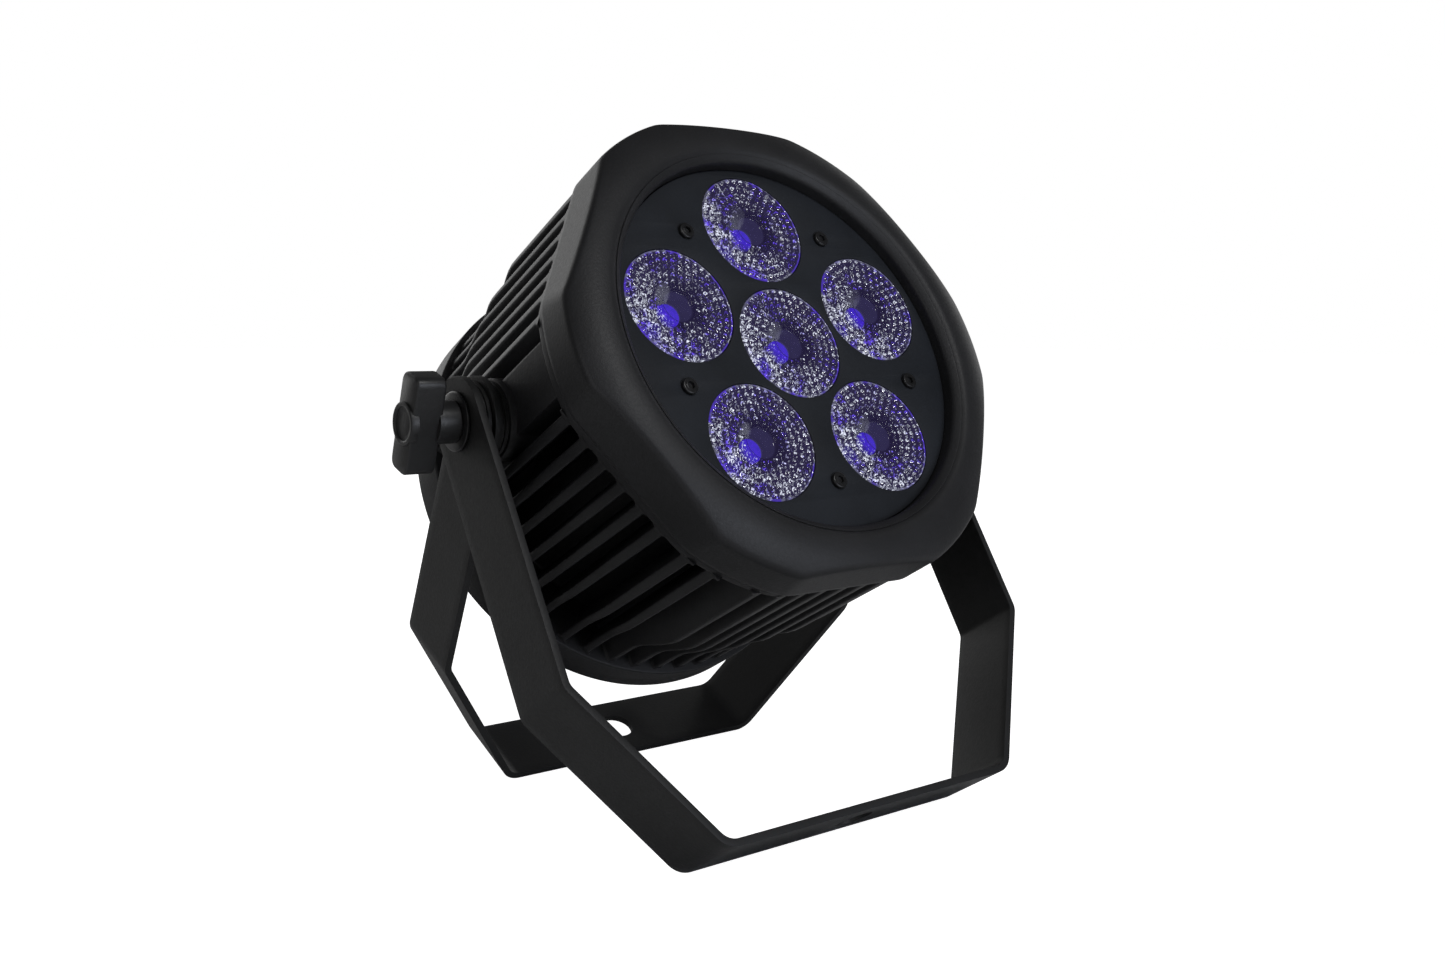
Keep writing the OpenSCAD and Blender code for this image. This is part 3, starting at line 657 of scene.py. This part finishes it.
def add_tube(bm):
    """The round tube, with its rear ring, its front rim and the floor behind the lenses."""
    ring_back_z, ring_in_r, step_r, step_z = -58.5, 78, 80.7, -66
    rim_r, rim_in_r = 70, 68
    shell = smoothed(
        [(TUBE_IN_R, FLOOR_Z), (TUBE_IN_R, ring_back_z), (ring_in_r, ring_back_z), (ring_in_r, step_z),
         (step_r, step_z), (step_r, RIM_Z), (REAR_R, RIM_Z), (REAR_R, FIN_BACK_Z), (TUBE_R, FIN_BACK_Z),
         (TUBE_R, 33), (rim_r, FIN_Z + 1), (rim_r, FLANGE_Z), (rim_in_r, FLANGE_Z), (rim_in_r, 38),
         (TUBE_IN_R, 36)],
        [0.3, 0.3, 0.3, 0.3, 0.3, 0.5, 1.5, 0.9, 1.5, 2, 0.3, 0.3, 0.3, 0.3, 0.3], 4,
    )
    turned(bm, shell, 240)
    floor_r, floor_top = TUBE_IN_R + 0.5, 36
    turned_solid(bm, [(0, FLOOR_Z), (floor_r, FLOOR_Z), (floor_r, floor_top), (0, floor_top)], 96)


def heatsink_housing():
    post_r, post_from, post_to = 3.6, 35, 53.8
    bm = bmesh.new()
    add_tube(bm)
    add_turned_sections(bm, flange_section, 288)
    add_fins(bm)
    for side in SIDES.values():
        add_pivot_pad(bm, side)
    for centre in screw_centres():
        post = [(0, post_from), (post_r, post_from), (post_r, post_to), (0, post_to)]
        turned_solid(bm, post, 32, centre)
    make_piece("housing_casting", bm, LAMP, "housing", "cast_black", ("heatsink_housing",), 40)


# ---- Face plate and its screws ----

def lens_centres():
    return [(0, 0)] + [polar(LENS_CIRCLE, angle) for angle in around(5, math.radians(90))]


def screw_centres():
    return [polar(SCREW_CIRCLE, angle) for angle in around(5, math.radians(126))]


def lens_plate():
    lens_clearance, screw_hole_r = 0.25, 2.3
    outlines = [circle_outline(PLATE_R, steps=192)]
    outlines += [circle_outline(LENS_R + lens_clearance, c, 96) for c in lens_centres()]
    outlines += [circle_outline(screw_hole_r, c, 32) for c in screw_centres()]
    bm = plate(outlines, PLATE_Z - PLATE_T, PLATE_Z, 0.25)
    make_piece("face_plate", bm, LAMP, "housing", "plate_grey", ("lens_plate",))


def add_screw_head(bm, centre, base, height, radius, socket_r, outward=1):
    """A pan head with a hexagon socket, turned about its own centre."""
    angles = around(36)
    corners = [(radius, 0), (radius, height), (socket_r * 1.12, height)]
    head = smoothed(corners, [0.05, radius * 0.45, 0.1], 4)
    rows = []
    for r, z in [(0, 0), *head]:
        rows.append([(*polar(r, angle, centre), base + outward * z) for angle in angles])
    for scale, z in ((1.0, height), (0.94, height - 0.15), (0.94, height * 0.35), (0.0, height * 0.25)):
        flat = scale * socket_r * math.cos(math.pi / 6)
        rows.append([
            (*polar(flat / math.cos(off_flat(angle, 0)), angle, centre), base + outward * z)
            for angle in angles
        ])
    add_loops(bm, rows)


def add_screw(bm, centre, seat, head, shank_r, shank_end, outward):
    """A head of (height, radius, socket radius) on its seat, and the shank behind it."""
    add_screw_head(bm, centre, seat, *head, outward)
    low, high = min(seat, shank_end), max(seat, shank_end)
    turned_solid(bm, [(0, low), (shank_r, low), (shank_r, high), (0, high)], 24, centre)


def plate_screws():
    bm = bmesh.new()
    for centre in screw_centres():
        add_screw(bm, centre, PLATE_Z, (1.4, 3, 1.5), 2, PLATE_Z - 9, 1)
    make_piece("face_screws", bm, LAMP, "housing", "black_steel", ("plate_screws",), 30)


# ---- Lenses ----

def pebble_centres():
    """Round bumps in five rings between the well and the rim, each ring offset from the last."""
    first, last, rings, pitch = WELL_R + 1.75, LENS_R - 1.6, 5, 2.95
    for ring in range(rings):
        r = first + (last - first) * ring / (rings - 1)
        count = round(2 * math.pi * r / pitch)
        for k in range(count):
            yield polar(r, 2 * math.pi * (k + 0.5 * (ring % 2)) / count)


def pebble_height(x, y, centres):
    bump_r, bump_h = 1.5, 0.55
    nearest = min((x - cx) ** 2 + (y - cy) ** 2 for cx, cy in centres)
    return bump_h * max(0, 1 - nearest / bump_r**2)


def lens_wall(z):
    """Radius of the wall that gathers the emitter's light, at a height."""
    rise = math.sin(math.pi / 2 * (z - LENS_BACK_Z) / LENS_WALL_H)
    return LENS_BACK_R + (LENS_R - LENS_BACK_R) * rise


def lens_mesh():
    """One lens about its own axis: pebbled face, smooth well, and the wall that curves to the emitter."""
    face_z, face_edge, wall_steps, face_steps, well_steps, steps = PLATE_Z - 0.35, 0.5, 14, 40, 6, 300
    centres = list(pebble_centres())
    wall_zs = [LENS_BACK_Z + LENS_WALL_H * k / wall_steps for k in range(1, wall_steps + 1)]
    back = [(0, GLOW_Z + 1.5), (HOLLOW_R / 2, GLOW_Z + 1.3), (HOLLOW_R, GLOW_Z + 0.5),
            (HOLLOW_R, LENS_BACK_Z), (LENS_BACK_R, LENS_BACK_Z)]
    back += [(lens_wall(z), z) for z in wall_zs]
    back += [(LENS_FLANGE_R, wall_zs[-1]), (LENS_FLANGE_R, LENS_FLANGE_Z), (LENS_R, LENS_FLANGE_Z),
             (LENS_R, face_z - 0.2), (LENS_R - 0.15, face_z + 0.25)]
    face_out, face_in = LENS_R - face_edge, WELL_R + 0.2
    face = [(face_out - (face_out - face_in) * k / face_steps, face_z) for k in range(face_steps + 1)]
    well = [(WELL_R, face_z - 0.25), (WELL_R - 0.25, WELL_Z + 0.4), (WELL_R - 0.7, WELL_Z + 0.08)]
    well += [(WELL_R * k / well_steps, WELL_Z) for k in range(well_steps - 1, -1, -1)]
    rows = []
    for points, pebbled in ((back, False), (face, True), (well, False)):
        for r, z in points:
            ring = [polar(r, angle) for angle in around(steps)]
            rows.append([(x, y, z + pebble_height(x, y, centres) if pebbled else z) for x, y in ring])
    bm = bmesh.new()
    add_loops(bm, rows)
    return bm


def cup_mesh():
    """The cup that holds a lens, just outside its wall."""
    gap, wall, foot, rim_r, steps = 0.35, 1.0, 0.8, 22.2, 24
    top_z, rim_z, foot_z = 52, LENS_FLANGE_Z + 0.1, LENS_BACK_Z - 1.6
    zs = [LENS_BACK_Z + (top_z - LENS_BACK_Z) * k / steps for k in range(steps + 1)]
    inner = [(lens_wall(z) + gap, z) for z in zs] + [(rim_r, top_z + 0.1), (rim_r, rim_z)]
    outer = [(rim_r + 0.7, rim_z), (rim_r + 0.7, top_z - 0.5)]
    outer += [(lens_wall(z) + gap + wall, z - 0.4) for z in zs[-3::-2]]
    mouth_r = LENS_BACK_R + gap
    bm = bmesh.new()
    turned(bm, [(mouth_r, foot_z), *inner, *outer, (mouth_r + wall + foot, foot_z)], 96)
    return bm


def glow_mesh():
    """The lit cap over the emitter, pressed into the hollow behind each lens."""
    cap_r, cap_t = HOLLOW_R - 0.05, 0.4
    bm = bmesh.new()
    turned_solid(bm, [(0, GLOW_Z + 0.9), (2.2, GLOW_Z + 0.7), (3.8, GLOW_Z + 0.3), (cap_r, GLOW_Z),
                      (cap_r, GLOW_Z - cap_t), (0, GLOW_Z - cap_t)], 40)
    return bm


def place_copies(bm, name, slot, replaced=None):
    """A copy of a mesh at each lens, turned a little from the last. Each point keeps its own place."""
    turn_each = 0.37
    template = bpy.data.meshes.new(name)
    bm.to_mesh(template)
    bm.free()
    for i, centre in enumerate(lens_centres()):
        bm = bmesh.new()
        bm.from_mesh(template)
        bm.transform(Matrix.Rotation(turn_each * i, 4, "Z"))
        own_place = bm.verts.layers.float_vector.new("place")
        for vert in bm.verts:
            vert[own_place] = vert.co
        matrix = LAMP @ Matrix.Translation((*centre, 0))
        stood_for = (f"{replaced}_{i + 1}",) if replaced else ()
        make_piece(f"{name}_{i + 1}", bm, matrix, "housing", slot, stood_for, 50)
    bpy.data.meshes.remove(template)


def lenses():
    place_copies(lens_mesh(), "pebbled_lens", "lens_clear", "lens")
    place_copies(cup_mesh(), "lens_cup", "holder_black", "lens_holder")
    place_copies(glow_mesh(), "lens_glow", "led_light")


# ---- Yokes ----

def arc(centre_x, centre_z, radius, start, end, steps):
    """Points (x, z, normal angle) of an arc, both ends included."""
    angles = [start + (end - start) * k / steps for k in range(steps + 1)]
    return [(centre_x + radius * math.cos(a), centre_z + radius * math.sin(a), a) for a in angles]


def strap_path(half, bend, base, depth):
    """Points (x, z, normal angle) along one side of the strap's outer face, pivot to base."""
    first_r, second_r = 7, 9
    turn = math.atan((half - base) / (depth - bend))
    first_cut = first_r * math.tan(turn / 2)
    second_cut = second_r * math.tan((math.pi / 2 - turn) / 2)
    upper_bend = arc(half - first_r, first_cut - bend, first_r, 0, -turn, 8)
    lower_bend = arc(base - second_cut, second_r - depth, second_r, -turn, -math.pi / 2, 12)
    start, end = Vector(upper_bend[-1]), Vector(lower_bend[0])
    leg = [(half, (first_cut - bend) * k / 12, 0) for k in range(12)]
    slope = [tuple(start.lerp(end, k / 8)) for k in range(1, 8)]
    return leg + upper_bend + slope + lower_bend


def strap_mesh(half, bend, base, depth):
    """The outer face of a bent strap: round ends, and a base with a round hole."""
    columns, end_steps, patch_steps = 8, 12, 7
    half_w = STRAP_W / 2
    path = [(x, z) for x, z, _ in strap_path(half, bend, base, depth)]
    last_x = path[-1][0]
    for k in range(1, patch_steps + 1):
        path.append((last_x + (half_w - last_x) * k / patch_steps, -depth))
    across = [(2 * c / columns - 1) * half_w for c in range(columns + 1)]
    bm = bmesh.new()
    inner_rows = {}
    for sign in (1, -1):
        tip = bm.verts.new((sign * half, 0, half_w))
        stations = []
        for k in range(1, end_steps):
            a = math.pi / 2 * (1 - k / end_steps)
            stations.append((half, half_w * math.sin(a), math.cos(a)))
        stations += [(x, z, 1) for x, z in path]
        rows = [[bm.verts.new((sign * x, w * narrow, z)) for w in across] for x, z, narrow in stations]
        for c in range(columns):
            bm.faces.new((tip, rows[0][c], rows[0][c + 1]))
        for lower, upper in zip(rows, rows[1:]):
            for c in range(columns):
                bm.faces.new((lower[c], lower[c + 1], upper[c + 1], upper[c]))
        inner_rows[sign] = rows[-1]
    back_edge = [bm.verts.new((-w, half_w, -depth)) for w in across[1:-1]]
    front_edge = [bm.verts.new((w, -half_w, -depth)) for w in across[1:-1]]
    edge = inner_rows[1] + back_edge + inner_rows[-1][::-1] + front_edge
    ring = [bm.verts.new((*polar(HOLE_R, a), -depth)) for a in around(len(edge), math.radians(-45))]
    for k in range(len(edge)):
        j = (k + 1) % len(edge)
        bm.faces.new((edge[k], edge[j], ring[j], ring[k]))
    bmesh.ops.recalc_face_normals(bm, faces=bm.faces)
    lowest = min(bm.faces, key=lambda face: face.calc_center_median().z)
    if lowest.normal.z > 0:
        bmesh.ops.reverse_faces(bm, faces=bm.faces)
    return bm


def yoke(name, node, matrix, half, bend, base, depth):
    """A bent strap of the yokes' steel. Its outer face is thickened inwards and its edges broken."""
    bm = strap_mesh(half, bend, base, depth)
    mesh = bpy.data.meshes.new(name)
    bm.to_mesh(mesh)
    bm.free()
    mesh.transform(matrix)
    piece = piece_from(name, mesh, node, "yoke_black", (node,))
    thick = piece.modifiers.new("thickness", "SOLIDIFY")
    thick.thickness = STRAP_T * MM
    thick.offset = -1
    thick.use_even_offset = True
    break_edges(piece, 0.45, 3, 50, 40)


# ---- Pivot stack and knobs ----

def side_frame(side):
    """In millimetres: Z outwards along the pivot axis on one side, X kept upright."""
    sign = SIDES[side]
    turn = Matrix(((0, 0, sign), (0, 1, 0), (1, 0, 0))).to_4x4()
    return Matrix.Translation(PIVOT) @ turn @ Matrix.Scale(MM, 4)


def washer_piece(name, node, body, slot, side, r, low, high, grooves):
    """A washer, or a pack of them: round rims, and a fine groove between each and the next."""
    bore, edge = 4.05, 0.3
    section = [(bore, low + edge), (bore + edge, low), (r - 0.5, low)]
    layer = (high - low) / (grooves + 1)
    for k in range(grooves + 1):
        foot = low + k * layer
        section += [(r - 0.25, foot + 0.08), (r, foot + edge), (r, foot + layer - edge)]
        section += [(r - 0.25, foot + layer - 0.08), (r - 0.5, foot + layer)]
    section += [(bore + edge, high), (bore, high - edge)]
    bm = bmesh.new()
    turned(bm, section, 72)
    make_piece(name, bm, side_frame(side), body, slot, (node,))


def pivot_stack(side):
    washer_piece(f"pivot_washer_pack_{side}", f"pivot_washer_{side}", "housing",
                 "washer_nylon", side, 13.3, 90, 93.55, 1)
    washer_piece(f"yoke_spacer_pack_{side}", f"yoke_spacer_{side}", "front_yoke",
                 "washer_nylon", side, 13.3, 96.35, 99.9, 1)
    washer_piece(f"knob_washer_disc_{side}", f"knob_washer_{side}", f"knob_washer_{side}",
                 "black_steel", side, 10, 102.55, 103.75, 0)


def knob(side):
    """A wing knob: hub, a thick wing with rounded corners, and a shallow recess in its round cap."""
    bore, hub_r, lean = 4.1, 7.2, -19
    hub_from, wing_from, wing_to, cap_to = 103.75, 110.75, 121.15, 121.95
    wing_l, wing_w, wing_corner = 33.6, 11, 3.4
    bm = bmesh.new()
    hub = smoothed(
        [(bore, hub_from), (hub_r, hub_from), (hub_r, wing_from + 1), (bore, wing_from + 1)],
        [0.2, 0.7, 0.1, 0.1], 4,
    )
    turned(bm, hub, 64)
    prism(bm, box_outline(wing_l, wing_w, wing_corner, steps=7), wing_from, wing_to, 0.9, 4)
    cap = [(0, wing_to - 2), (hub_r, wing_to - 2), (hub_r, cap_to - 0.45), (hub_r - 0.15, cap_to - 0.12),
           (hub_r - 0.5, cap_to), (hub_r - 1.3, cap_to), (hub_r - 1.6, cap_to - 0.2),
           (hub_r - 1.75, cap_to - 0.7), (2.2, cap_to - 0.95), (0, cap_to - 0.95)]
    turned_solid(bm, cap, 64)
    matrix = side_frame(side) @ Matrix.Rotation(math.radians(lean), 4, "Z")
    make_piece(f"wing_{side}", bm, matrix, f"knob_{side}", "knob_plastic", (f"knob_{side}",), 40)


# ---- Rear panel ----

def button_centre(i):
    return (i - (len(BUTTONS) - 1) / 2) * BUTTON_PITCH, BUTTON_Y


def rear_cover():
    """The panel, with openings for the display, the buttons, the inlet, the sockets and the vent."""
    outlines = [circle_outline(COVER_R, steps=192)]
    outlines.append(box_outline(42, 19, 1.2, (0, 33)))
    outlines += [circle_outline(3.8, button_centre(i), 40) for i in range(len(BUTTONS))]
    outlines.append(box_outline(27, 21, 1.2, (-33, -22)))
    outlines += [circle_outline(12, (x, -23), 64) for x in (2, 33)]
    outlines.append(circle_outline(4, (-38, BUTTON_Y), 32))
    bm = plate(outlines, COVER_Z, COVER_Z + COVER_T, 0.3)
    make_piece("rear_panel", bm, LAMP, "housing", "cast_black", ("rear_cover",))


def cover_screws():
    bm = bmesh.new()
    for angle in around(6):
        add_screw(bm, polar(COVER_SCREW_CIRCLE, angle), COVER_Z, (2, 3.4, 1.7), 2, COVER_Z + 10, -1)
    make_piece("panel_screws", bm, LAMP, "housing", "bright_steel", ("cover_screws",), 30)


def menu_button(i):
    """A rubber key with a dished top, its skirt behind the panel."""
    key_r, skirt_r, stem_r, skirt_out, skirt_in, stem_in = 3.5, 4.5, 1.6, -3, -4.2, -6.9
    dish = [(0, 0.65), (1.6, 0.72), (2.4, 0.9), (2.9, 0.98), (3.25, 0.9), (3.45, 0.6), (key_r, 0.1)]
    behind = [(key_r, skirt_out), (skirt_r, skirt_out), (skirt_r, skirt_in), (stem_r, skirt_in),
              (stem_r, stem_in), (0, stem_in)]
    bm = bmesh.new()
    turned_solid(bm, [(r, COVER_Z - out) for r, out in dish + behind], 40, button_centre(i))
    make_piece(f"{BUTTONS[i]}_key", bm, LAMP, BUTTONS[i], "button_rubber", (BUTTONS[i],))


# ---- Everything ----

front_bezel()
heatsink_housing()
lens_plate()
plate_screws()
lenses()
yoke("front_strap", "front_yoke", FRONT_YOKE, 102.4, 99.5, 63.9, 157.5)
yoke("rear_strap", "rear_yoke", REAR_YOKE, 96.2, 91, 58.3, 147.8)
for side in SIDES:
    pivot_stack(side)
    knob(side)
rear_cover()
cover_screws()
for i in range(len(BUTTONS)):
    menu_button(i)
for node, width in {"power_inlet": 0.5, "data_in_socket": 0.5, "data_out_socket": 0.5,
                    "safety_eye": 0.5, "vent_plug": 0.3, "display_window": 0.35,
                    "socket_screws": 0.3, "bezel_screws": 0.3}.items():
    softened(node, "housing", width)
for node, obj in frame["nodes"].items():
    obj.data.materials.clear()
    obj.data.materials.append(MATERIALS[NODE_SLOTS[node]])


# ---- Studio ----

def seen_or_lit(tree, seen, lit):
    """One strength for what the camera sees directly, and another for the light it gives."""
    path = tree.nodes.new("ShaderNodeLightPath")
    return add_range(tree, path.outputs["Is Camera Ray"], lit, seen)


def pale_floor():
    material, tree, shader = new_material("studio_floor")
    coordinates = tree.nodes.new("ShaderNodeTexCoord")
    cloud = add_noise(tree, coordinates, 3, 2)
    tone = add_ramp(tree, cloud, (0.86, 0.86, 0.86), (0.88, 0.88, 0.88))
    tree.links.new(tone, shader.inputs["Base Color"])
    shader.inputs["Roughness"].default_value = 0.9
    shader.inputs["Specular IOR Level"].default_value = 0.1
    shader.inputs["Emission Color"].default_value = (1, 1, 1, 1)
    tree.links.new(seen_or_lit(tree, 0.95, 0.0), shader.inputs["Emission Strength"])
    reach = 12
    corners = ((-reach, -reach, 0), (reach, -reach, 0), (reach, reach, 0), (-reach, reach, 0))
    mesh = bpy.data.meshes.new("floor")
    mesh.from_pydata(corners, [], [(0, 1, 2, 3)])
    mesh.materials.append(material)
    floor = bpy.data.objects.new("floor", mesh)
    bpy.context.scene.collection.objects.link(floor)


def soft_light(name, direction, distance, size, power, color=(1, 1, 1)):
    """A round area light that looks at the pivot from a direction. The camera doesn't see it."""
    light = bpy.data.lights.new(name, "AREA")
    light.shape = "DISK"
    light.size = size
    light.energy = power
    light.color = color
    lamp = bpy.data.objects.new(name, light)
    bpy.context.scene.collection.objects.link(lamp)
    away = Vector(direction).normalized()
    lamp.location = PIVOT + away * distance
    lamp.rotation_euler = away.to_track_quat("Z", "Y").to_euler()
    lamp.visible_camera = False


def studio():
    world = bpy.data.worlds.new("studio")
    world.use_nodes = True
    tree = world.node_tree
    background = tree.nodes["Background"]
    background.inputs["Color"].default_value = (1.0, 1.0, 1.0, 1)
    tree.links.new(seen_or_lit(tree, 1.0, 0.1), background.inputs["Strength"])
    bpy.context.scene.world = world
    bpy.context.scene.view_settings.view_transform = "Standard"
    soft_light("backdrop", (-0.1, 0.93, 0.35), 1.3, 1.1, 4.5)
    soft_light("window", (0.23, -0.96, 0.13), 1.2, 0.5, 4.2, (0.84, 0.89, 1.0))
    soft_light("spark", (0.1, -0.7, 0.71), 1.1, 0.12, 3)
    soft_light("fill", (-1.0, -0.5, 0.3), 1.2, 0.6, 1.6)
    soft_light("far_side", (0.95, 0.3, 0.25), 1.3, 0.9, 2.5)


def photo_camera():
    camera = bpy.data.cameras.new("camera")
    camera.lens = 35.35
    camera.sensor_width = 36
    camera.shift_x = -0.0129
    camera.shift_y = -0.0245
    holder = bpy.data.objects.new("camera", camera)
    bpy.context.scene.collection.objects.link(holder)
    holder.location = (-0.32296, -0.42428, 0.17120)
    holder.rotation_euler = [math.radians(a) for a in (85.400, -0.310, -38.935)]
    bpy.context.scene.camera = holder


pale_floor()
studio()
photo_camera()
